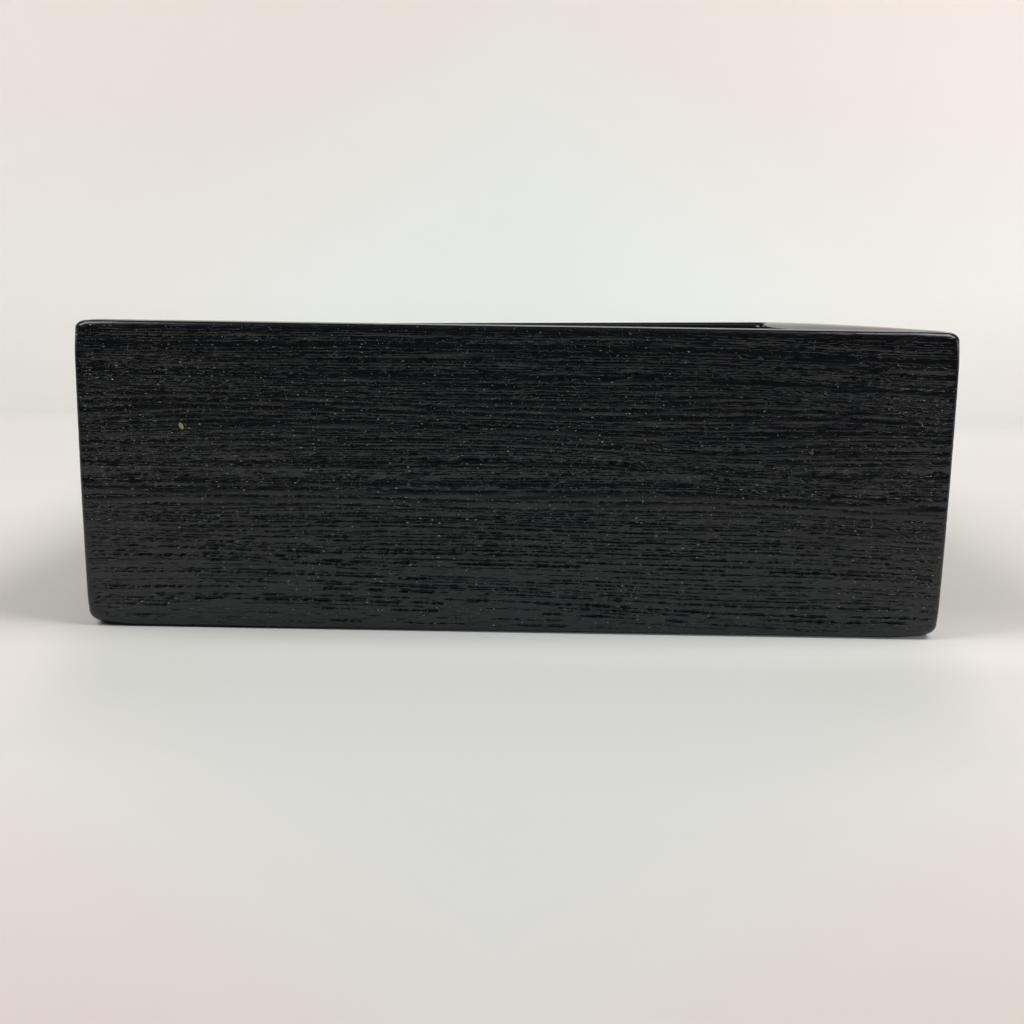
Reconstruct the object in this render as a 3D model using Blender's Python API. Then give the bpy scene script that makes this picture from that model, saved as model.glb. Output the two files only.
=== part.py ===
"""Open square lacquer box, moulded in one piece, standing on its flat underside.

Units are metres and +Z is up. The origin is at the centre of the underside. The
near side, the one with the level rim, faces -Y, and +X is to its right.

The box is one wall profile carried round a square plan. Its edges are lightly
rounded, and they grow softer towards the eight outer corners.
"""

import math

import bmesh
import bpy
from mathutils import Vector

# Overall size
box_width = 0.200
box_depth = 0.200
box_height = 0.0713

# Walls and floor
wall_thickness = 0.0050
floor_thickness = 0.0040
wall_belly = 0.0002

# Radii of the edges, away from the corners
foot_radius = 0.0016
rim_outer_radius = 0.0014
rim_inner_radius = 0.0024
upright_edge_radius = 0.0014
inner_upright_radius = 0.0040
floor_fillet_radius = 0.0030

# Softer radii at the outer corners, of the edges and of the uprights' top, and their reach
foot_corner_radius = 0.0033
rim_corner_radius = 0.0018
rim_upright_radius = 0.0033
corner_softening = 0.0090

# Fall of the rim's flat top, from its inner edge to its outer one
rim_top_fall = 0.0002

# Warp of the moulding: how far the rim sinks towards the back, and arches along the right side
far_left_rim_drop = 0.0038
far_right_rim_drop = 0.0003
right_rim_arch = 0.0004

# Fineness of the faceted surface
corner_steps = 6
edge_steps = 5
wall_steps = 4
side_steps = 12

# Finish
lacquer_black = (0.011, 0.0112, 0.012, 1.0)
lacquer_roughness = 0.22
smooth_angle = math.radians(35)

# Signs of X and Y at the four corners, anticlockwise from the near right one
corners = [Vector((1, -1)), Vector((1, 1)), Vector((-1, 1)), Vector((-1, -1))]


def quarter_turn(steps):
    """Angles from 0 to 90 degrees."""
    return [math.pi / 2 * step / steps for step in range(steps + 1)]


def between(start, end, steps):
    """Values between two ends, without the ends."""
    return [start + (end - start) * step / steps for step in range(1, steps)]


def corner_share(distance):
    """1 at an outer corner, falling smoothly to 0 where the softening ends."""
    return max(0.0, 1 - distance / corner_softening) ** 2


def softened(edge_radius, corner_radius, share):
    """Radius of an edge that grows softer towards a corner."""
    return edge_radius + (corner_radius - edge_radius) * share


def upright_radius(height):
    """Plan radius of the outer upright edges, softer at the foot and at the rim."""
    foot_part = (foot_corner_radius - upright_edge_radius) * corner_share(height)
    rim_part = (rim_upright_radius - upright_edge_radius) * corner_share(box_height - height)
    return upright_edge_radius + foot_part + rim_part


def belly_inset(height):
    """How far the outer wall stands inside its widest line, which is at half height."""
    return wall_belly * (1 - math.sin(math.pi * height / box_height))


def outer_profile(share):
    """Inset and height up the outside, from the flat underside to the top of the rim."""
    outer_height = box_height - rim_top_fall
    foot = softened(foot_radius, foot_corner_radius, share)
    rim = softened(rim_outer_radius, rim_corner_radius, share)
    points = []
    for angle in quarter_turn(edge_steps):
        height = foot * (1 - math.cos(angle))
        points.append((belly_inset(height) + foot * (1 - math.sin(angle)), height))
    for height in between(foot, outer_height - rim, wall_steps):
        points.append((belly_inset(height), height))
    for angle in quarter_turn(edge_steps):
        height = outer_height - rim * (1 - math.sin(angle))
        points.append((belly_inset(height) + rim * (1 - math.cos(angle)), height))
    return points


def inner_profile():
    """Inset and height over the inner side of the rim and down to the floor."""
    wall = belly_inset(box_height) + wall_thickness
    fillet_top = floor_thickness + floor_fillet_radius
    points = []
    for angle in quarter_turn(edge_steps):
        inset = wall - rim_inner_radius * (1 - math.sin(angle))
        points.append((inset, box_height - rim_inner_radius * (1 - math.cos(angle))))
    for height in between(box_height - rim_inner_radius, fillet_top, wall_steps):
        points.append((wall, height))
    for angle in quarter_turn(edge_steps):
        inset = wall + floor_fillet_radius * (1 - math.cos(angle))
        points.append((inset, fillet_top - floor_fillet_radius * math.sin(angle)))
    return points


def plan_outline(radius):
    """Stations round the plan: point, its drift as the inset grows, and distance from a corner."""
    stations = []
    for index, corner in enumerate(corners):
        following = corners[(index + 1) % 4]
        start_angle = math.pi / 2 * (index - 1)
        reach = Vector((box_width / 2 - radius, box_depth / 2 - radius))
        arc = [
            corner * reach + radius * Vector((math.cos(start_angle + a), math.sin(start_angle + a)))
            for a in quarter_turn(corner_steps)
        ]
        stations += [(point, -corner, 0.0) for point in arc]
        end_angle = start_angle + math.pi / 2
        side_start = arc[-1]
        side_end = following * reach + radius * Vector((math.cos(end_angle), math.sin(end_angle)))
        length = (side_end - side_start).length
        for step in range(1, side_steps):
            share = (1 - math.cos(math.pi * step / side_steps)) / 2
            point = side_start.lerp(side_end, share)
            drift = (-corner).lerp(-following, share)
            stations.append((point, drift, length * min(share, 1 - share)))
    return stations


def warped_height(point, height):
    """Height of a point once the moulding has warped; the floor and underside stay flat."""
    rightwards = point.x / box_width + 0.5
    backwards = point.y / box_depth + 0.5
    far_shift = -far_right_rim_drop * rightwards - far_left_rim_drop * (1 - rightwards)
    arch = right_rim_arch * rightwards * 4 * backwards * (1 - backwards)
    share = max(0.0, (height - floor_thickness) / (box_height - floor_thickness))
    return height + (far_shift * backwards + arch) * share


def add_rings(mesh):
    """Rings of vertices, from the edge of the underside, over the rim, to the edge of the floor."""
    outer_radii = [upright_radius(height) for _, height in outer_profile(1.0)]
    inner_radii = [inner_upright_radius] * len(inner_profile())
    distances = [distance for _, _, distance in plan_outline(upright_edge_radius)]
    profiles = [outer_profile(corner_share(d)) + inner_profile() for d in distances]
    rings = []
    for index, radius in enumerate(outer_radii + inner_radii):
        ring = []
        for (point, drift, _), profile in zip(plan_outline(radius), profiles):
            inset, height = profile[index]
            place = point + drift * inset
            ring.append(mesh.verts.new((place.x, place.y, warped_height(place, height))))
        rings.append(ring)
    return rings


def bridge(mesh, lower, upper):
    """Faces between two rings that follow each other along the profile."""
    for index in range(len(lower)):
        following = (index + 1) % len(lower)
        mesh.faces.new((lower[index], lower[following], upper[following], upper[index]))


def close(mesh, ring, height):
    """Flat face inside a ring, as triangles around its centre."""
    centre = mesh.verts.new((0.0, 0.0, height))
    for index in range(len(ring)):
        mesh.faces.new((ring[index], ring[(index + 1) % len(ring)], centre))


def lacquer_material():
    """Glossy black lacquer."""
    material = bpy.data.materials.new("black_lacquer")
    material.use_nodes = True
    shader = material.node_tree.nodes["Principled BSDF"]
    shader.inputs["Base Color"].default_value = lacquer_black
    shader.inputs["Roughness"].default_value = lacquer_roughness
    shader.inputs["Metallic"].default_value = 0.0
    return material


def make_box():
    """The box: one hollow, closed solid, lofted along its wall's profile."""
    mesh = bmesh.new()
    rings = add_rings(mesh)
    for lower, upper in zip(rings, rings[1:]):
        bridge(mesh, lower, upper)
    close(mesh, rings[0], 0.0)
    close(mesh, rings[-1], floor_thickness)
    bmesh.ops.recalc_face_normals(mesh, faces=mesh.faces)
    data = bpy.data.meshes.new("box")
    mesh.to_mesh(data)
    mesh.free()
    data.shade_smooth()
    data.set_sharp_from_angle(angle=smooth_angle)
    data.materials.append(lacquer_material())
    box = bpy.data.objects.new("box", data)
    bpy.context.scene.collection.objects.link(box)
    return box


for stale in list(bpy.data.objects):
    bpy.data.objects.remove(stale, do_unlink=True)

make_box()
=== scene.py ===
"""Looks of an open square box of black lacquer with wood grain on its outer sides.

Units are metres, in the frame of the solid: +Z is up, the near side faces -Y and the
origin is at the centre of the underside. The body is smooth. Its four outer sides are
grain panels, let into it flush between the rounded foot and the rounded rim.
"""

import math

import bpy
import numpy as np
from mathutils import Matrix, Vector


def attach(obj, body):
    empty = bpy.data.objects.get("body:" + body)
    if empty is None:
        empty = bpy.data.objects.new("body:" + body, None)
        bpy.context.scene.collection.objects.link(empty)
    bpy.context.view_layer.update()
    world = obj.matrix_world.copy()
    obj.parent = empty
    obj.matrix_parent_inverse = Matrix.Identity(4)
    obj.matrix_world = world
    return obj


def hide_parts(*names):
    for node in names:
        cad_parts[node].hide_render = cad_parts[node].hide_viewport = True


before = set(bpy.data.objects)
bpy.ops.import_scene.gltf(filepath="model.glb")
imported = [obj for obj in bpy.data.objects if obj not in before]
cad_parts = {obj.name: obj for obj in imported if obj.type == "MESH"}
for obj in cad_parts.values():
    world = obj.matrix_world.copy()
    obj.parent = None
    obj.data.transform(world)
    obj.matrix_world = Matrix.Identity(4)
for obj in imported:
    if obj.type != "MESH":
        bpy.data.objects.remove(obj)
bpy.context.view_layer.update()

# Form of the box, as in the solid
box_width = 0.200
box_height = 0.0713
wall_thickness = 0.0050
floor_thickness = 0.0040
wall_belly = 0.0002
foot_radius = 0.0016
rim_outer_radius = 0.0014
rim_inner_radius = 0.0024
upright_edge_radius = 0.0014
inner_upright_radius = 0.0040
floor_fillet_radius = 0.0030
foot_corner_radius = 0.0033
rim_corner_radius = 0.0018
rim_upright_radius = 0.0033
corner_softening = 0.0090
far_left_rim_drop = 0.0038
far_right_rim_drop = 0.0003
right_rim_arch = 0.0004
rim_top_fall = 0.0002

# Grain panels: slabs let into the body, finer on the near side
panel_thickness = 0.0009
panel_seat = 0.0010
panel_edge_angle = math.radians(45)
half_arc_steps = 6
panel_edge_steps = 8
near_columns, near_rows = 392, 466
other_columns, other_rows = 220, 336

# Lines of vertices over the body: the foot, the rim's two sides, the inner wall and the fillet
foot_lines = 6
rim_lines = 8
inner_rim_lines = 13
inner_wall_lines = 8
fillet_lines = 10

# Lines of the wood grain: their spacing, also at the foot, and the gap that takes a companion
line_spacing = 0.00116
low_line_spacing = 0.00134
companion_spacing = 0.00100
grain_margin = 0.004
path_wander = 0.00004

# Spread of the gaps between lines and of their breadth, as mean and deviation of the logarithm
gap_spread = (-0.07, 0.40)
narrowest_gap, widest_gap = 0.45, 2.1
breadth_spread = (0.10, 0.42)

# Shallow hollows along the lines, and the reach of a line beyond its breadth
hollow_depth = 0.000028
hollow_width = 0.00038
hollow_reach = 2.2

# Pores, the short cuts that make up a line
pore_length = 0.0074
shortest_pore, longest_pore = 0.0012, 0.040
pore_gap = 0.0010
pore_half_width = 0.000155
pore_depth = 0.00018
pore_tapers = (0.0007, 0.0026)
pore_length_spread = 1.0
pore_gap_spread = 0.8
pore_bead = 0.46

# Patches where the pores are sparse
patch_count = 16
patch_height = 0.005
patch_wavelength = 0.028

# Faint swell under the grain
swell_count = 14
swell_depth = 0.000036
swell_lengths = (0.025, 0.07)
swell_heights = (0.0017, 0.0060)

# Heights between which the grain goes from its look at the foot to its look higher up
upper_grain = (0.012, 0.045)
upper_swell = (0.015, 0.045)

# Drift of the grain along a side: its slope, its bend, its steeper slope at the foot, its waves
flow_slope = 0.006
flow_bend = 0.10
foot_flow_slope = 0.018
foot_flow_height = 0.028
drift_waves = 5
drift_depth = 0.0009
drift_lengths = (0.07, 0.16)
drift_heights = (0.018, 0.040)
drift_sizes = (0.2, 0.6)

# Fade of the relief towards the foot, the rim and the ends, and the step that takes its slope
foot_fade = (0.0006, 0.0022)
rim_fade = (0.0008, 0.0026)
end_fade = (0.0, 0.0014)
pore_end_margins = (0.0008, 0.0022)
pore_end_fade = (0.0, 0.0005)
slope_step = 0.00003

# Camera, from the photo's perspective
camera_place = Vector((0.00193, -0.3569, 0.07517))
camera_tilt = math.radians(10.215)
camera_roll = math.radians(0.857)
camera_yaw = math.radians(-0.490)
camera_lens = 39.90
camera_sensor = 36.0

# Finish: black lacquer, and the dust on it
lacquer_colour = (0.0054, 0.0066, 0.0092, 1)
lacquer_tint = (0.925, 0.968, 0.972, 1)
lacquer_ior = 1.51
dust_colour = (0.50, 0.49, 0.465, 1)
dust_roughness = 0.6
grain_roughness = (0.15, 0.23)
smooth_roughness = (0.07, 0.12)
grain_ripples = (
    ((110, 110, 2600), 0.000014),
    ((300, 300, 3100), 0.000012),
    ((1300, 1300, 2900), 0.000016),
)
smooth_ripples = (((420, 420, 420), 0.000012),)
fibre_scale = (210, 210, 3000)
fibre_depth = 0.000027
foot_ripple_gain = 1.8
foot_ripple_heights = (0.010, 0.045)

# Round specks of dust: their cell, largest radius and share of empty cells, and the same for dashes, which
# are dust streaks and painted glints along the grain
speck_kinds = ((0.0010, 0.000075, 0.38), (0.0020, 0.00011, 0.66), (0.0065, 0.00018, 0.62))
dust_and_glint_dash_kind = (0.0010, 0.000085, 0.46)
dust_and_glint_dash_stretch = (0.30, 1.0, 1.0)

# Threads of lint: how fast they curl, their thinness and brightness, and the patches they lie in
thread_scale = (140, 140, 1)
thread_share = 0.0035
thread_brightness = 0.3
thread_patch_scale = (260, 260, 1)
thread_patch_level = 0.79

# A pale flake of dust, placed along X + Y and up Z: on the near side, and mirrored on the left one
flake_place = (-0.1758, 0.0475, 0.0)
flake_turn = math.radians(25)
flake_half_sizes = (0.00045, 0.00080, 1.0)
flake_colour = (0.45, 0.36, 0.24, 1)

# Where the dust lies thickest, as the middle and half sizes of ovals, placed the same way
dusty_ovals = (
    ((-0.116, 0.036, 0.0), (0.050, 0.030, 1.0)),
    ((-0.172, 0.064, 0.0), (0.060, 0.022, 1.0)),
)
dusty_oval_gain = 0.45

# Studio: the table's near edge, the backdrop's place and height, and the round joint between them
table_edge = -0.265
backdrop_place = 0.405
backdrop_height = 0.32
cove = 0.015
floor_drop = -0.00002
paper_half_width = 3.0
card_half_width = 1.5
card_end = -1.5

# Colours of the paper's middle: just before the box and before its ends, darker with painted shade of the
# box, then further away, at the back
shaded_before_colour = (0.785, 0.80, 0.797, 1)
shaded_before_ends_colour = (0.78, 0.785, 0.755, 1)
further_colour = (0.84, 0.855, 0.835, 1)
behind_colour = (0.79, 0.808, 0.79, 1)

# Warmer, lighter colours of its sides, painted side light: beside the box, at the back, at the front and high
# on the backdrop
painted_light_beside = (0.96, 0.91, 0.87, 1)
painted_light_behind = (0.79, 0.768, 0.744, 1)
painted_light_front = (0.875, 0.80, 0.76, 1)
painted_light_high = (0.80, 0.738, 0.708, 1)

# Other colours of the studio, with painted shade in the joint and on the card
paper_colour = (0.79, 0.79, 0.768, 1)
joint_shade_colour = (0.71, 0.69, 0.67, 1)
card_colour = (0.79, 0.79, 0.77, 1)
card_shade_far_middle = (0.178, 0.178, 0.184, 1)
card_shade_far_side = (0.045, 0.045, 0.047, 1)
studio_colour = (0.80, 0.79, 0.77, 1)
soft_white = (1.0, 0.99, 0.97)
white = (1.0, 1.0, 1.0)
matt_roughness = 0.9
ambient_strength = 0.06
backdrop_light_tilt = math.radians(68)


def smooth_share(low, high, values):
    """0 up to the low value, 1 from the high one, and a smooth rise between."""
    share = np.clip((values - low) / (high - low), 0.0, 1.0)
    return share * share * (3 - 2 * share)


def softened(edge_radius, corner_radius, share):
    """Radius of an edge that grows softer towards a corner."""
    return edge_radius + (corner_radius - edge_radius) * share


def corner_share(distance):
    """1 at an outer corner, falling smoothly to 0 where the softening ends."""
    return np.clip(1 - distance / corner_softening, 0.0, 1.0) ** 2


def upright_radius(height):
    """Plan radius of the outer upright edges, softer at the foot and at the rim."""
    foot_part = (foot_corner_radius - upright_edge_radius) * corner_share(height)
    rim_part = (rim_upright_radius - upright_edge_radius) * corner_share(box_height - height)
    return upright_edge_radius + foot_part + rim_part


def belly_inset(height):
    """How far the outer wall stands inside its widest line, which is at half height."""
    return wall_belly * (1 - np.sin(math.pi * height / box_height))


class Side:
    """Stations along one side, from the middle of one upright edge to the middle of the next."""

    def __init__(self, index, straight_steps):
        self.index = index
        first_arc = np.linspace(-135, -90, half_arc_steps + 1)[:-1]
        last_arc = np.linspace(-90, -45, half_arc_steps + 1)[1:]
        ends = np.zeros(half_arc_steps), np.ones(half_arc_steps)
        self.share = np.concatenate((ends[0], np.linspace(0, 1, straight_steps + 1), ends[1]))
        straight_turn = np.full(straight_steps + 1, -90.0)
        self.turn = np.radians(np.concatenate((first_arc, straight_turn, last_arc)))
        length = box_width - 2 * upright_edge_radius
        self.place = (self.share - 0.5) * length + upright_edge_radius * (self.turn + math.pi / 2)
        corner = corner_share(length * np.minimum(self.share, 1 - self.share))
        self.foot_edge = softened(foot_radius, foot_corner_radius, corner)
        self.rim_edge = softened(rim_outer_radius, rim_corner_radius, corner)

    def foot_row(self, angle, extra=0.0):
        """Plan radius, inset and height of a line along the rounded foot."""
        height = self.foot_edge * (1 - math.cos(angle))
        inset = belly_inset(height) + self.foot_edge * (1 - math.sin(angle)) + extra
        return upright_radius(foot_corner_radius * (1 - math.cos(angle))), inset, height

    def wall_row(self, share):
        """The same for a line along the outer wall."""
        outer_height = box_height - rim_top_fall
        height = self.foot_edge + (outer_height - self.rim_edge - self.foot_edge) * share
        corner_height = foot_corner_radius + (outer_height - rim_corner_radius - foot_corner_radius) * share
        return upright_radius(corner_height), belly_inset(height), height

    def rim_row(self, angle, extra=0.0):
        """The same for a line along the outer side of the rim."""
        outer_height = box_height - rim_top_fall
        height = outer_height - self.rim_edge * (1 - math.sin(angle))
        inset = belly_inset(height) + self.rim_edge * (1 - math.cos(angle)) + extra
        return upright_radius(outer_height - rim_corner_radius * (1 - math.sin(angle))), inset, height

    def inner_row(self, inset, height):
        """The same for a line inside the box."""
        count = len(self.share)
        return inner_upright_radius, np.full(count, inset), np.full(count, height)

    def points(self, rows):
        """Points of the given lines, as an array of rows, stations and coordinates."""
        radius = np.array([row[0] for row in rows])[:, None]
        inset = np.array([row[1] for row in rows])
        height = np.array([row[2] for row in rows])
        reach = box_width / 2 - radius - inset
        x = (2 * self.share - 1) * reach + radius * np.cos(self.turn)
        y = -reach + radius * np.sin(self.turn)
        for _ in range(self.index):
            x, y = -y, x
        rightwards = x / box_width + 0.5
        backwards = y / box_width + 0.5
        far_shift = -far_right_rim_drop * rightwards - far_left_rim_drop * (1 - rightwards)
        arch = right_rim_arch * rightwards * 4 * backwards * (1 - backwards)
        share = np.clip((height - floor_thickness) / (box_height - floor_thickness), 0.0, None)
        return np.stack((x, y, height + (far_shift * backwards + arch) * share), axis=2)


# The four sides, and how strongly and which way the grain drifts along each
side_names = ("near", "right", "far", "left")
side_flows = (1.0, -0.5, 0.7, -0.8)
first_seed = 40
sides = [Side(0, near_columns)] + [Side(index, other_columns) for index in (1, 2, 3)]


def whole_ring(lines):
    """The four sides' points joined into closed rings, anticlockwise from the near left edge."""
    return np.concatenate([side.points(lines(side))[:, :-1] for side in sides], axis=1)


def blended_row(first, second, share):
    """A line part of the way from one to another."""
    return tuple(a + (b - a) * share for a, b in zip(first, second))


def unit(vectors):
    """The same directions at unit length."""
    return vectors / np.maximum(np.linalg.norm(vectors, axis=-1, keepdims=True), 1e-12)


def ring_frames(points):
    """Directions along closed rings and across them, and the outward normals."""
    along = unit(np.roll(points, -1, axis=1) - np.roll(points, 1, axis=1))
    upwards = unit(np.gradient(points, axis=0))
    return along, upwards, unit(np.cross(along, upwards))


def grid_faces(rows, columns, close_rows, close_columns):
    """Quads of a grid of vertices, closed on itself one way or both."""
    row = np.arange(rows if close_rows else rows - 1)[:, None]
    column = np.arange(columns if close_columns else columns - 1)[None, :]
    next_row = (row + 1) % rows
    next_column = (column + 1) % columns
    corners = (
        row * columns + column,
        row * columns + next_column,
        next_row * columns + next_column,
        next_row * columns + column,
    )
    return np.stack(corners, axis=2).reshape(-1, 4)


def make_piece(name, points, faces, normals, map_places, material):
    """A piece of the box: its mesh, its smooth normals, its flat map and its finish."""
    mesh = bpy.data.meshes.new(name)
    mesh.from_pydata(points.tolist(), [], faces)
    mesh.shade_smooth()
    flat_map = mesh.uv_layers.new(name="OFBake")
    flat_map.data.foreach_set("uv", np.concatenate(map_places).astype(np.float32).ravel())
    mesh.normals_split_custom_set_from_vertices(normals.tolist())
    mesh.materials.append(material)
    piece = bpy.data.objects.new(name, mesh)
    bpy.context.scene.collection.objects.link(piece)
    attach(piece, "root")
    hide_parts("box")
    return piece


def smooth_noise(rng, places, wavelength, waves=7):
    """A smooth random line of about unit size."""
    line = np.zeros(len(places))
    for _ in range(waves):
        length = wavelength * rng.uniform(0.6, 1.8)
        line += np.sin(2 * math.pi * (places / length + rng.uniform())) * rng.uniform(0.5, 1.0)
    return line / math.sqrt(waves * 0.3)


class Grain:
    """Wood grain of one side: broken lines of pores in shallow hollows, over a faint swell."""

    def __init__(self, seed, places, flow):
        self.rng = np.random.default_rng(seed)
        self.places = places
        self.flow = flow
        rng = self.rng
        self.drifts = [
            (
                rng.uniform(*drift_lengths),
                rng.uniform(*drift_heights),
                rng.uniform(),
                rng.uniform(*drift_sizes),
            )
            for _ in range(drift_waves)
        ]
        self.swells = [
            (
                rng.uniform(*swell_lengths),
                rng.uniform(*swell_heights) * rng.choice((-1, 1)),
                rng.uniform(),
            )
            for _ in range(swell_count)
        ]
        patches = [smooth_noise(rng, places, patch_wavelength) for _ in range(patch_count)]
        no_hollow = np.zeros(len(places))
        self.lines = []
        base = -grain_margin
        while base < box_height + grain_margin:
            patch = patches[int((base + grain_margin) / patch_height) % len(patches)]
            sparse = smooth_share(0.5, 1.7, patch + rng.normal(0, 0.5))
            sparse = np.clip(sparse + 0.7 * (1 - smooth_share(0.002, 0.008, base)), 0, 1)
            path = base + self.drift(base) + path_wander * smooth_noise(rng, places, 0.012)
            waves = 0.5 * smooth_noise(rng, places, 0.018) + 0.3 * smooth_noise(rng, places, 0.0028)
            upper = smooth_share(*upper_grain, base)
            breadth = rng.lognormal(*breadth_spread)
            hollow = hollow_depth * breadth**1.4 * np.clip(0.6 + 0.7 * upper + waves, 0, 2.4)
            size = rng.lognormal(0.10 - 0.16 * upper, 0.20)
            self.lines.append((path, self.widths(sparse, size), hollow, hollow_width * breadth))
            gap = low_line_spacing + (line_spacing - low_line_spacing) * upper
            gap *= min(max(rng.lognormal(*gap_spread), narrowest_gap), widest_gap)
            if gap > companion_spacing and rng.uniform() < 0.60 + 0.15 * upper:
                beside = self.widths(np.clip(sparse + 0.4, 0, 1), 0.8)
                self.lines.append((path + gap / 2, beside, no_hollow, hollow_width))
            base += gap

    def drift(self, height):
        """How far a line of grain wanders from the level, along the side."""
        low = 1 - smooth_share(0.0, foot_flow_height, height)
        wander = -(flow_slope + foot_flow_slope * low) * self.places - flow_bend * self.places**2
        wander = wander * self.flow
        for along, upwards, phase, size in self.drifts:
            turns = self.places / along + height / upwards + phase
            wander += drift_depth * size * np.sin(2 * math.pi * turns)
        return wander

    def widths(self, sparse, size):
        """Half width of the pores along one line, and 0 in the gaps between them."""
        rng = self.rng
        widths = np.zeros(len(self.places))
        start = self.places[0] - rng.uniform(0.0, 0.012)
        while start < self.places[-1]:
            length = rng.lognormal(math.log(pore_length), pore_length_spread)
            length = min(max(length, shortest_pore), longest_pore)
            taper = rng.uniform(*pore_tapers)
            inside = np.minimum(self.places - start, start + length - self.places)
            ends = np.clip(inside / taper + 0.35, 0.0, 1.0) ** 0.7
            bold = min(rng.lognormal(0.0, 0.24), 1.45)
            widths = np.maximum(widths, pore_half_width * size * bold * ends)
            here = np.interp(start + length, self.places, sparse)
            start += length + rng.lognormal(math.log(pore_gap), pore_gap_spread) * (1 + 8 * here)
        beads = rng.normal(size=len(self.places))
        beads = 0.85 * beads + 0.45 * np.roll(beads, 1)
        margins = np.interp(self.places, self.places[[0, -1]], rng.uniform(*pore_end_margins, 2))
        ends = smooth_share(*pore_end_fade, self.places[-1] - np.abs(self.places) - margins)
        return widths * np.clip(1 + pore_bead * beads, 0.1, 1.7) * ends

    def depth(self, heights):
        """How far the grain lies above the smooth side: below 0 nearly everywhere."""
        row_tops = heights.max(axis=1)
        row_bottoms = heights.min(axis=1)
        pores = np.zeros_like(heights)
        hollows = np.zeros_like(pores)
        for path, widths, hollow, breadth in self.lines:
            reach = hollow_reach * breadth
            first = np.searchsorted(row_tops, path.min() - reach)
            last = np.searchsorted(row_bottoms, path.max() + reach)
            if first >= last:
                continue
            away = heights[first:last] - path
            hollows[first:last] -= hollow * np.exp(-((away / breadth) ** 2))
            depths = pore_depth * widths / pore_half_width
            cut = -depths * np.clip(1 - (away / np.maximum(widths, 1e-6)) ** 2, 0, None) ** 1.3
            pores[first:last] = np.minimum(pores[first:last], cut)
        swell = np.zeros_like(pores)
        for along, upwards, phase in self.swells:
            turns = self.places[None, :] / along + heights / upwards + phase
            swell += np.sin(2 * math.pi * turns) / len(self.swells) ** 0.5
        size = 0.4 + 0.45 * smooth_share(*upper_swell, heights)
        return pores + hollows + swell_depth * (swell * size - 1.9)


def grained_side(side, wall_steps, seed):
    """Heights, points and normals of one side with its wood grain."""
    foot_angles = np.linspace(panel_edge_angle, math.pi / 2, panel_edge_steps + 1)[:-1]
    rim_angles = np.linspace(0, panel_edge_angle, panel_edge_steps + 1)[1:]
    shares = np.linspace(0, 1, wall_steps + 1)

    def lines(any_side):
        rows = [any_side.foot_row(angle) for angle in foot_angles]
        rows += [any_side.wall_row(share) for share in shares]
        return rows + [any_side.rim_row(angle) for angle in rim_angles]

    first = sum(len(other.share) - 1 for other in sides[: side.index])
    taken = range(first, first + len(side.share))
    directions = ring_frames(whole_ring(lines))
    along, upwards, outward = [part.take(taken, axis=1, mode="wrap") for part in directions]

    top = box_height - rim_top_fall
    foot, rim = side.foot_edge, side.rim_edge
    heights = np.concatenate((
        foot * (1 + foot_angles - math.pi / 2)[:, None],
        foot + (top - rim - foot) * shares[:, None],
        top - rim * (1 - rim_angles)[:, None],
    ))
    rows = heights[:, len(side.share) // 2]
    row_fade = smooth_share(*foot_fade, rows - rows[0]) * smooth_share(*rim_fade, rows[-1] - rows)
    station_fade = smooth_share(*end_fade, side.place[-1] - np.abs(side.place))
    fade = station_fade[None, :] * row_fade[:, None]
    grain = Grain(seed, side.place, side_flows[side.index])
    relief = grain.depth(heights) * fade
    above, below = grain.depth(heights + slope_step), grain.depth(heights - slope_step)
    climb = (above - below) / (2 * slope_step) * fade
    slant = np.gradient(relief, side.place, axis=1)
    front = side.points(lines(side)) + outward * relief[:, :, None]
    normals = unit(outward - upwards * climb[:, :, None] - along * slant[:, :, None])
    return rows, front, normals


def make_grain_slab(name, side, heights, front, normals, first, last, material):
    """A stretch of a grained side, from one station to another, as a thin closed slab."""
    low_back = side.foot_row(panel_edge_angle, panel_thickness)
    high_back = side.rim_row(panel_edge_angle, panel_thickness)
    back = side.points([low_back, high_back])[:, first : last + 1]
    grid = np.concatenate((back[:1], front[:, first : last + 1], back[1:]))
    count, columns = grid.shape[:2]
    hidden = np.zeros((1, columns, 3))
    grid_normals = np.concatenate((hidden, normals[:, first : last + 1], hidden)).reshape(-1, 3)
    faces = grid_faces(count, columns, True, False).tolist()

    # Flat map: the front fills most of it, the back lies in strips round it and the caps beside it
    front_strips = np.interp(heights, heights[[0, -1]], [0.15, 0.97])
    strip_low = np.concatenate(([0.13], front_strips, [0.01]))
    strip_high = np.concatenate((front_strips, [0.99, 0.12]))
    across = np.linspace(0.005, 0.955, columns)
    left, low = np.meshgrid(across[:-1], strip_low)
    right, high = np.meshgrid(across[1:], strip_high)
    map_places = [np.stack((left, low, right, low, right, high, left, high), axis=2).reshape(-1, 2)]
    flat = grid.reshape(-1, 3)
    for column, place in ((0, 0.965), (columns - 1, 0.985)):
        ring = np.arange(count) * columns + column
        away = np.linalg.norm(flat[ring, :2] - flat[ring[0], :2], axis=1)
        rise = np.concatenate((heights[:1], heights, heights[-1:])) / box_height
        cap = np.stack((place + 0.010 * away / away.max(), 0.02 + 0.9 * rise), axis=1)
        if column == 0:
            ring, cap = ring[::-1], cap[::-1]
        faces.append(ring.tolist())
        map_places.append(cap)
    return make_piece(name, flat, faces, grid_normals, map_places, material)


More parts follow.
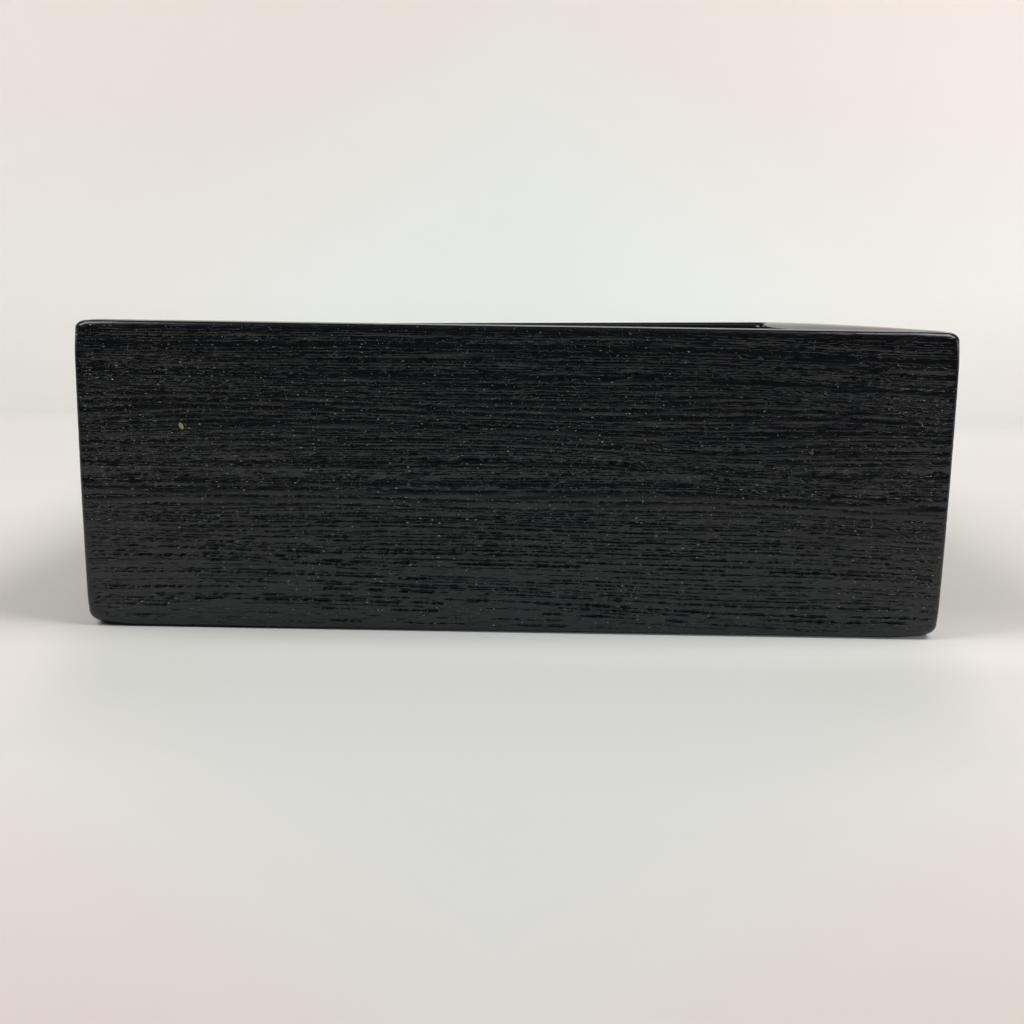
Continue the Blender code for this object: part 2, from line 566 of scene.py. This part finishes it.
def make_body(material):
    """The smooth part of the box: foot, rim, inside and the seats of the grain panels."""
    wall = wall_belly + wall_thickness
    fillet_top = floor_thickness + floor_fillet_radius

    def foot(side):
        return [side.foot_row(angle) for angle in np.linspace(0, panel_edge_angle, foot_lines)]

    def seat(side):
        return [side.foot_row(panel_edge_angle, panel_seat), side.rim_row(panel_edge_angle, panel_seat)]

    def upper(side):
        rim = [side.rim_row(angle) for angle in np.linspace(panel_edge_angle, math.pi / 2, rim_lines)]
        inside = []
        for angle in np.linspace(0, math.pi / 2, inner_rim_lines):
            inset = wall - rim_inner_radius * (1 - math.sin(angle))
            height = box_height - rim_inner_radius * (1 - math.cos(angle))
            inside.append(side.inner_row(inset, height))
        for height in np.linspace(box_height - rim_inner_radius, fillet_top, inner_wall_lines)[1:-1]:
            inside.append(side.inner_row(wall, height))
        for angle in np.linspace(0, math.pi / 2, fillet_lines):
            inset = wall + floor_fillet_radius * (1 - math.cos(angle))
            inside.append(side.inner_row(inset, fillet_top - floor_fillet_radius * math.sin(angle)))
        top = [blended_row(rim[-1], inside[0], share) for share in (0.25, 0.5, 0.75)]
        return rim + top + inside

    foot_normals = ring_frames(whole_ring(lambda side: foot(side) + [side.wall_row(0.0)]))[2][:-1]
    upper_normals = ring_frames(whole_ring(lambda side: [side.wall_row(1.0)] + upper(side)))[2][1:]
    points = np.concatenate((whole_ring(foot), whole_ring(seat), whole_ring(upper)))
    normals = np.concatenate((foot_normals, np.zeros((2,) + foot_normals.shape[1:]), upper_normals))
    normals[0] = (0, 0, -1)
    normals[-1] = (0, 0, 1)
    count, columns = points.shape[:2]
    faces = grid_faces(count, columns, False, True).tolist()
    faces.append(list(range(columns))[::-1])
    faces.append(list(range((count - 1) * columns, count * columns)))

    # Flat map: each side's rows lie in a strip of their own, with the underside and the floor above
    steps = np.linalg.norm(np.diff(points[:, near_columns // 2], axis=0), axis=1)
    climb = np.concatenate(([0.0], np.cumsum(steps)))
    climb = climb / climb[-1] * 0.15
    left, right, strip = [], [], []
    for side in sides:
        across = 0.01 + 0.98 * (side.place - side.place[0]) / (side.place[-1] - side.place[0])
        left.append(across[:-1])
        right.append(across[1:])
        strip.append(np.full(len(across) - 1, 0.01 + 0.16 * side.index))
    shape = (count - 1, columns)
    strip = np.concatenate(strip)
    low = climb[:-1, None] + strip
    high = climb[1:, None] + strip
    left = np.broadcast_to(np.concatenate(left), shape)
    right = np.broadcast_to(np.concatenate(right), shape)
    map_places = [np.stack((left, low, right, low, right, high, left, high), axis=2).reshape(-1, 2)]
    for ring, centre in ((points[0, ::-1], 0.18), (points[-1], 0.52)):
        map_places.append(np.stack((centre + ring[:, 0] * 1.5, 0.82 + ring[:, 1] * 1.5), axis=1))
    flat, flat_normals = points.reshape(-1, 3), normals.reshape(-1, 3)
    return make_piece("lacquer_body", flat, faces, flat_normals, map_places, material)


def add_node(tree, kind, **settings):
    """A shader node with its settings and the values of its inputs."""
    node = tree.nodes.new(kind)
    for key, value in settings.items():
        if key in node.inputs:
            node.inputs[key].default_value = value
        else:
            setattr(node, key, value)
    return node


def feed(tree, socket, value):
    """Gives a socket a number, or another node's output."""
    if isinstance(value, bpy.types.NodeSocket):
        tree.links.new(value, socket)
    else:
        socket.default_value = value


def combine(tree, operation, *values):
    """The result of a sum on numbers or other nodes' outputs."""
    node = add_node(tree, "ShaderNodeMath", operation=operation)
    for socket, value in zip(node.inputs, values):
        feed(tree, socket, value)
    return node.outputs[0]


def ramp(tree, value, start, end, low, high, shape="LINEAR"):
    """A value that runs from low to high while another runs from start to end."""
    node = add_node(tree, "ShaderNodeMapRange", interpolation_type=shape)
    for socket, item in zip(node.inputs, (value, start, end, low, high)):
        feed(tree, socket, item)
    return node.outputs["Result"]


def blend_colours(tree, share, first, second):
    """A colour part of the way from one to another."""
    node = add_node(tree, "ShaderNodeMix", data_type="RGBA")
    feed(tree, node.inputs["Factor"], share)
    feed(tree, node.inputs["A"], first)
    feed(tree, node.inputs["B"], second)
    return node.outputs["Result"]


def noise(tree, place, scale, detail=3.0, dimensions="3D"):
    """Soft noise, with its grain stretched by the scale along each axis."""
    stretch = add_node(tree, "ShaderNodeMapping")
    stretch.inputs["Scale"].default_value = scale
    tree.links.new(place, stretch.inputs["Vector"])
    node = add_node(tree, "ShaderNodeTexNoise", noise_dimensions=dimensions, Scale=1.0, Detail=detail)
    node.inputs["Roughness"].default_value = 0.55
    tree.links.new(stretch.outputs["Vector"], node.inputs["Vector"])
    return node.outputs["Fac"]


def oval_distance(tree, flat, middle, half_sizes, turn=0.0):
    """Distance from the middle of an oval, which is 1 at its edge."""
    oval = add_node(tree, "ShaderNodeMapping", vector_type="TEXTURE", Location=middle,
                    Rotation=(0.0, 0.0, turn), Scale=half_sizes)
    tree.links.new(flat, oval.inputs["Vector"])
    away = add_node(tree, "ShaderNodeVectorMath", operation="LENGTH")
    tree.links.new(oval.outputs["Vector"], away.inputs[0])
    return away.outputs["Value"]


def specks(tree, flat, cell, size, empty, thin):
    """Round specks, at most one in each cell, fewer where the thinning is high."""
    spots = add_node(tree, "ShaderNodeTexVoronoi", voronoi_dimensions="2D", Scale=1 / cell)
    tree.links.new(flat, spots.inputs["Vector"])
    pick = add_node(tree, "ShaderNodeSeparateColor")
    tree.links.new(spots.outputs["Color"], pick.inputs["Color"])
    chosen = combine(tree, "GREATER_THAN", pick.outputs["Red"], combine(tree, "ADD", thin, empty))
    reach = combine(tree, "MULTIPLY", pick.outputs["Green"], size / cell)
    round_spot = combine(tree, "LESS_THAN", spots.outputs["Distance"], reach)
    skewed = combine(tree, "POWER", pick.outputs["Blue"], 1.5)
    brightness = ramp(tree, skewed, 0.0, 1.0, 0.12, 1.0)
    return combine(tree, "MULTIPLY", combine(tree, "MULTIPLY", chosen, round_spot), brightness)


def split_axes(tree, place):
    """X, Y and Z of a place."""
    node = add_node(tree, "ShaderNodeSeparateXYZ")
    tree.links.new(place, node.inputs["Vector"])
    return node.outputs["X"], node.outputs["Y"], node.outputs["Z"]


def dust(tree, place):
    """Dust and short threads of lint, thinning towards the foot and the right, and a flake; the dashes are
    dust streaks with painted glints along the grain.

    It is laid out along X + Y and up Z. So it runs on round the near right edge, and the
    left and far sides mirror the near and right ones.
    """
    x, y, z = split_axes(tree, place)
    along = combine(tree, "ADD", x, y)
    plane = add_node(tree, "ShaderNodeCombineXYZ")
    tree.links.new(along, plane.inputs["X"])
    tree.links.new(z, plane.inputs["Y"])
    flat = plane.outputs["Vector"]
    patches = noise(tree, flat, (20, 20, 1), 1.0, "2D")
    thin = combine(tree, "ADD", ramp(tree, z, 0.0, 0.07, 0.24, 0.12),
                   ramp(tree, patches, 0.38, 0.62, 0.20, -0.20))
    thin = combine(tree, "ADD", thin, ramp(tree, along, -0.10, -0.01, 0.0, 0.12))
    for middle, half_sizes in dusty_ovals:
        away = oval_distance(tree, flat, middle, half_sizes)
        thin = combine(tree, "ADD", thin, ramp(tree, away, 0.3, 1.2, -dusty_oval_gain, 0.0, "SMOOTHSTEP"))
    amount = 0.0
    for kind in speck_kinds:
        amount = combine(tree, "MAXIMUM", amount, specks(tree, flat, *kind, thin))
    # Dashes along the grain: dust streaks and painted glints on the grain's ridges
    lengthwise = add_node(tree, "ShaderNodeMapping", Scale=dust_and_glint_dash_stretch)
    tree.links.new(flat, lengthwise.inputs["Vector"])
    dust_and_glint_dashes = specks(tree, lengthwise.outputs["Vector"], *dust_and_glint_dash_kind, thin)
    amount = combine(tree, "MAXIMUM", amount, dust_and_glint_dashes)
    wander = noise(tree, flat, thread_scale, 0.0, "2D")
    curl = combine(tree, "ABSOLUTE", combine(tree, "SUBTRACT", wander, 0.5))
    thread = combine(tree, "MULTIPLY", combine(tree, "LESS_THAN", curl, thread_share), thread_brightness)
    patch = noise(tree, flat, thread_patch_scale, 0.0, "2D")
    patch = combine(tree, "GREATER_THAN", patch, thread_patch_level)
    amount = combine(tree, "MAXIMUM", amount, combine(tree, "MULTIPLY", thread, patch))
    away = oval_distance(tree, flat, flake_place, flake_half_sizes, flake_turn)
    return amount, combine(tree, "LESS_THAN", away, 1.0)


def make_lacquer(name, grained):
    """Glossy black lacquer: rougher, finely rippled and dusty on the grain, with painted glints in its dust
    dashes.
    """
    material = bpy.data.materials.new(name)
    material.use_nodes = True
    tree = material.node_tree
    shader = tree.nodes["Principled BSDF"]
    shader.inputs["IOR"].default_value = lacquer_ior
    shader.inputs["Specular Tint"].default_value = lacquer_tint
    place = add_node(tree, "ShaderNodeTexCoord").outputs["Object"]

    lowest, highest = grain_roughness if grained else smooth_roughness
    rough = ramp(tree, noise(tree, place, (55, 55, 55)), 0.0, 1.0, lowest, highest)
    height = 0.0
    for scale, size in grain_ripples if grained else smooth_ripples:
        height = combine(tree, "MULTIPLY_ADD", noise(tree, place, scale), size, height)
    if grained:
        fibres = noise(tree, place, fibre_scale, 1.0)
        height = combine(tree, "ADD", height, ramp(tree, fibres, 0.56, 0.68, 0.0, -fibre_depth, "SMOOTHSTEP"))
        upwards = split_axes(tree, place)[2]
        gain = ramp(tree, upwards, *foot_ripple_heights, foot_ripple_gain, 1.0)
        height = combine(tree, "MULTIPLY", height, gain)
    bump = add_node(tree, "ShaderNodeBump", Strength=1.0, Distance=1.0)
    tree.links.new(height, bump.inputs["Height"])
    tree.links.new(bump.outputs["Normal"], shader.inputs["Normal"])

    if grained:
        amount, flake = dust(tree, place)
        colour = blend_colours(tree, amount, lacquer_colour, dust_colour)
        tree.links.new(blend_colours(tree, flake, colour, flake_colour), shader.inputs["Base Color"])
        covered = combine(tree, "MULTIPLY", combine(tree, "MAXIMUM", amount, flake), dust_roughness)
        rough = combine(tree, "MAXIMUM", rough, covered)
    else:
        shader.inputs["Base Color"].default_value = lacquer_colour
    tree.links.new(rough, shader.inputs["Roughness"])
    return material


def plain_material(name, colour, roughness):
    """A matt, even surface for the studio."""
    material = bpy.data.materials.new(name)
    material.use_nodes = True
    shader = material.node_tree.nodes["Principled BSDF"]
    shader.inputs["Base Color"].default_value = colour
    shader.inputs["Roughness"].default_value = roughness
    shader.inputs["Specular IOR Level"].default_value = 0.0
    return material


def stage_sheet(name, outline, half_width, material):
    """A sheet of the studio: an outline in Y and Z, swept along X."""
    mesh = bpy.data.meshes.new(name)
    points = [(x, y, z) for x in (-half_width, half_width) for y, z in outline]
    count = len(outline)
    faces = [(i, i + count, i + count + 1, i + 1) for i in range(count - 1)]
    mesh.from_pydata(points, [], faces)
    mesh.shade_smooth()
    mesh.materials.append(material)
    sheet = bpy.data.objects.new(name, mesh)
    bpy.context.scene.collection.objects.link(sheet)
    return sheet


def soft_light(name, direction, distance, size, radiance, colour):
    """A square soft light that faces the box from a direction."""
    data = bpy.data.lights.new(name, "AREA")
    data.shape = "SQUARE"
    data.size = size
    data.energy = radiance * math.pi * size * size
    data.color = colour
    light = bpy.data.objects.new(name, data)
    bpy.context.scene.collection.objects.link(light)
    towards = Vector(direction).normalized()
    light.location = towards * distance
    light.rotation_euler = towards.to_track_quat("Z", "Y").to_euler()
    light.visible_camera = False
    return light


def paint_paper(material):
    """Faint painted light and shade in the paper's colour: cool in the middle, warmer and lighter at the
    sides, painted shade just before the box and in the joint, and a painted glow.

    Each ramp goes from one place to another, in metres along the axis that it reads.
    """
    tree = material.node_tree
    place = add_node(tree, "ShaderNodeTexCoord").outputs["Object"]
    x, y, z = split_axes(tree, place)
    aside = combine(tree, "ABSOLUTE", x)

    # Painted warm light: it grows sideways, up the backdrop and to the front
    fan = combine(tree, "DIVIDE", aside, ramp(tree, y, -0.15, 0.40, 1.0, 3.0))
    fan = combine(tree, "ADD", fan, ramp(tree, z, 0.08, 0.26, 0.0, 0.088))
    fan = combine(tree, "ADD", fan, ramp(tree, y, -0.17, -0.25, 0.0, 0.075))
    painted_warm_light = ramp(tree, fan, 0.04, 0.115, 0.0, 1.0, "SMOOTHSTEP")

    # None of it on the strip just before the box, which keeps the painted shade of the box
    across = combine(tree, "ADD", aside, ramp(tree, y, -0.10, -0.20, 0.0, 0.03))
    before = combine(tree, "MULTIPLY", ramp(tree, across, 0.090, 0.112, 1.0, 0.0, "SMOOTHSTEP"),
                     ramp(tree, y, -0.185, -0.140, 0.0, 1.0, "SMOOTHSTEP"))
    before = combine(tree, "MULTIPLY", before, ramp(tree, y, -0.10, -0.09, 1.0, 0.0))
    painted_warm_light = combine(tree, "MULTIPLY", painted_warm_light, combine(tree, "SUBTRACT", 1.0, before))

    # Colours in the middle, darker with painted shade just before the box, and the painted side light
    middle = blend_colours(tree, ramp(tree, across, 0.02, 0.085, 0.0, 1.0), shaded_before_colour, shaded_before_ends_colour)
    nearby = combine(tree, "ABSOLUTE", combine(tree, "ADD", y, 0.115))
    middle = blend_colours(tree, ramp(tree, nearby, 0.020, 0.075, 0.0, 1.0), middle, further_colour)
    middle = blend_colours(tree, ramp(tree, y, 0.10, 0.35, 0.0, 1.0), middle, behind_colour)
    painted_side_light = blend_colours(tree, ramp(tree, y, -0.12, 0.35, 0.0, 1.0), painted_light_beside, painted_light_behind)
    painted_side_light = blend_colours(tree, ramp(tree, y, -0.18, -0.25, 0.0, 1.0), painted_side_light, painted_light_front)
    painted_side_light = blend_colours(tree, ramp(tree, z, 0.12, 0.27, 0.0, 1.0), painted_side_light, painted_light_high)
    tint = blend_colours(tree, painted_warm_light, middle, painted_side_light)

    # Painted shade: the joint between the table and the backdrop is a little darker
    joint_shade = combine(tree, "MULTIPLY", ramp(tree, y, 0.33, 0.39, 0.0, 1.0),
                    ramp(tree, z, 0.0, 0.012, 0.45, 0.0))
    tint = blend_colours(tree, joint_shade, tint, joint_shade_colour)

    # Painted glow of the backdrop, more to the right, and painted light on the strip just before the box at
    # its right
    painted_glow = combine(tree, "ADD", ramp(tree, z, 0.002, 0.015, 0.0, 0.185), ramp(tree, z, 0.0, 0.09, 0.0, 0.075))
    rightwards = combine(tree, "MULTIPLY", ramp(tree, x, 0.0, 0.34, 0.0, 0.11),
                         ramp(tree, z, 0.0, 0.09, 0.35, 1.0))
    painted_glow = combine(tree, "ADD", painted_glow, rightwards)
    painted_lift = combine(tree, "MULTIPLY", ramp(tree, y, -0.127, -0.107, 0.0, 1.0, "SMOOTHSTEP"),
                   ramp(tree, y, -0.10, -0.06, 1.0, 0.0, "SMOOTHSTEP"))
    painted_lift = combine(tree, "MULTIPLY", painted_lift, ramp(tree, x, -0.06, 0.06, 0.0, 0.11))
    painted_lift = combine(tree, "MULTIPLY", painted_lift, ramp(tree, x, 0.10, 0.17, 1.0, 0.0, "SMOOTHSTEP"))
    painted_glow = combine(tree, "ADD", painted_glow, painted_lift)

    shader = tree.nodes["Principled BSDF"]
    tree.links.new(tint, shader.inputs["Base Color"])
    tree.links.new(tint, shader.inputs["Emission Color"])
    tree.links.new(painted_glow, shader.inputs["Emission Strength"])


def paint_card(material):
    """The card's grading, painted shade that the lacquer mirrors: dark away from the table, and darker still
    towards its sides.
    """
    tree = material.node_tree
    place = add_node(tree, "ShaderNodeTexCoord").outputs["Object"]
    x, y, _ = split_axes(tree, place)
    shade = ramp(tree, y, -0.236, -0.42, 0.0, 1.0, "SMOOTHSTEP")
    fan = combine(tree, "DIVIDE", combine(tree, "ABSOLUTE", x), combine(tree, "SUBTRACT", 0.157, y))
    sideways = ramp(tree, fan, 0.12, 0.36, 0.0, 1.0, "SMOOTHSTEP")
    far_grade = blend_colours(tree, sideways, card_shade_far_middle, card_shade_far_side)
    grading = blend_colours(tree, shade, card_colour, far_grade)
    tree.links.new(grading, tree.nodes["Principled BSDF"].inputs["Base Color"])


def make_world():
    """The pale surroundings that the camera sees, and the fainter light that they give."""
    world = bpy.data.worlds.new("studio")
    bpy.context.scene.world = world
    world.use_nodes = True
    tree = world.node_tree
    tree.nodes.clear()
    seen = add_node(tree, "ShaderNodeBackground", Color=studio_colour, Strength=1.0)
    ambient = add_node(tree, "ShaderNodeBackground", Color=studio_colour, Strength=ambient_strength)
    ray = add_node(tree, "ShaderNodeLightPath")
    choice = add_node(tree, "ShaderNodeMixShader")
    output = add_node(tree, "ShaderNodeOutputWorld")
    tree.links.new(ray.outputs["Is Camera Ray"], choice.inputs[0])
    tree.links.new(ambient.outputs[0], choice.inputs[1])
    tree.links.new(seen.outputs[0], choice.inputs[2])
    tree.links.new(choice.outputs[0], output.inputs["Surface"])


def make_camera():
    """The camera, turned by its yaw and tilt and then rolled about its line of sight."""
    forward = Vector((
        math.sin(camera_yaw) * math.cos(camera_tilt),
        math.cos(camera_yaw) * math.cos(camera_tilt),
        -math.sin(camera_tilt),
    ))
    level_right = Vector((math.cos(camera_yaw), -math.sin(camera_yaw), 0.0))
    level_up = level_right.cross(forward)
    right = level_right * math.cos(camera_roll) + level_up * math.sin(camera_roll)
    up = level_up * math.cos(camera_roll) - level_right * math.sin(camera_roll)
    data = bpy.data.cameras.new("camera")
    data.lens = camera_lens
    data.sensor_width = camera_sensor
    data.clip_start = 0.01
    camera = bpy.data.objects.new("camera", data)
    bpy.context.scene.collection.objects.link(camera)
    turn = Matrix((right, up, -forward)).transposed().to_4x4()
    camera.matrix_world = Matrix.Translation(camera_place) @ turn
    bpy.context.scene.camera = camera


grain_lacquer = make_lacquer("grain_lacquer", True)
smooth_lacquer = make_lacquer("smooth_lacquer", False)
make_body(smooth_lacquer)
for side, name in zip(sides, side_names):
    shaped = grained_side(side, other_rows if side.index else near_rows, first_seed + side.index)
    end = len(side.share) - 1
    if side.index:
        make_grain_slab(f"{name}_grain", side, *shaped, 0, end, grain_lacquer)
    else:
        make_grain_slab(f"{name}_grain_left", side, *shaped, 0, end // 2, grain_lacquer)
        make_grain_slab(f"{name}_grain_right", side, *shaped, end // 2, end, grain_lacquer)

# A pale table and backdrop, as one bent sheet of paper
painted_light_paper = plain_material("painted_light_paper", paper_colour, matt_roughness)
paint_paper(painted_light_paper)
bend = [
    (backdrop_place - cove * (1 - math.sin(angle)), cove * (1 - math.cos(angle)))
    for angle in np.linspace(0, math.pi / 2, 9)[1:]
]
table = [(table_edge, floor_drop), (backdrop_place - cove, floor_drop)]
backdrop_top = (backdrop_place, backdrop_height)
stage_sheet("table_and_backdrop", table + bend + [backdrop_top], paper_half_width, painted_light_paper)

# A card beyond the table's edge, behind the camera and hidden from it, graded with painted shade, which the
# lacquer mirrors
painted_shade_card_material = plain_material("painted_shade_card", card_colour, matt_roughness)
paint_card(painted_shade_card_material)
card = stage_sheet("painted_shade_card", [(card_end, floor_drop), (table_edge, floor_drop)], card_half_width, painted_shade_card_material)
card.visible_camera = False

# Large lights above the sides, and small ones for the bright streaks on the rim's corners
soft_light("left_light", (-0.68, -0.18, 0.84), distance=1.3, size=0.76, radiance=4.35, colour=soft_white)
soft_light("right_light", (0.58, -0.13, 0.90), distance=1.3, size=0.62, radiance=6.9, colour=soft_white)
soft_light("left_glint", (-0.48, -0.78, 0.88), distance=1.35, size=0.07, radiance=8.0, colour=white)
soft_light("right_glint", (0.48, -0.78, 0.88), distance=1.35, size=0.07, radiance=8.0, colour=white)
soft_light("right_window", (0.97, -0.20, 0.14), distance=1.3, size=0.10, radiance=14.0, colour=white)
soft_light("left_window", (-0.97, -0.20, 0.14), distance=1.3, size=0.07, radiance=14.0, colour=white)
wash = soft_light("backdrop_light", (0.0, 0.02, 1.3), distance=1.3, size=0.9, radiance=0.9, colour=soft_white)
wash.rotation_euler = (backdrop_light_tilt, 0.0, 0.0)

make_world()
make_camera()

bpy.context.scene.view_settings.view_transform = "Standard"
bpy.context.scene.view_settings.look = "None"

bpy.context.view_layer.update()
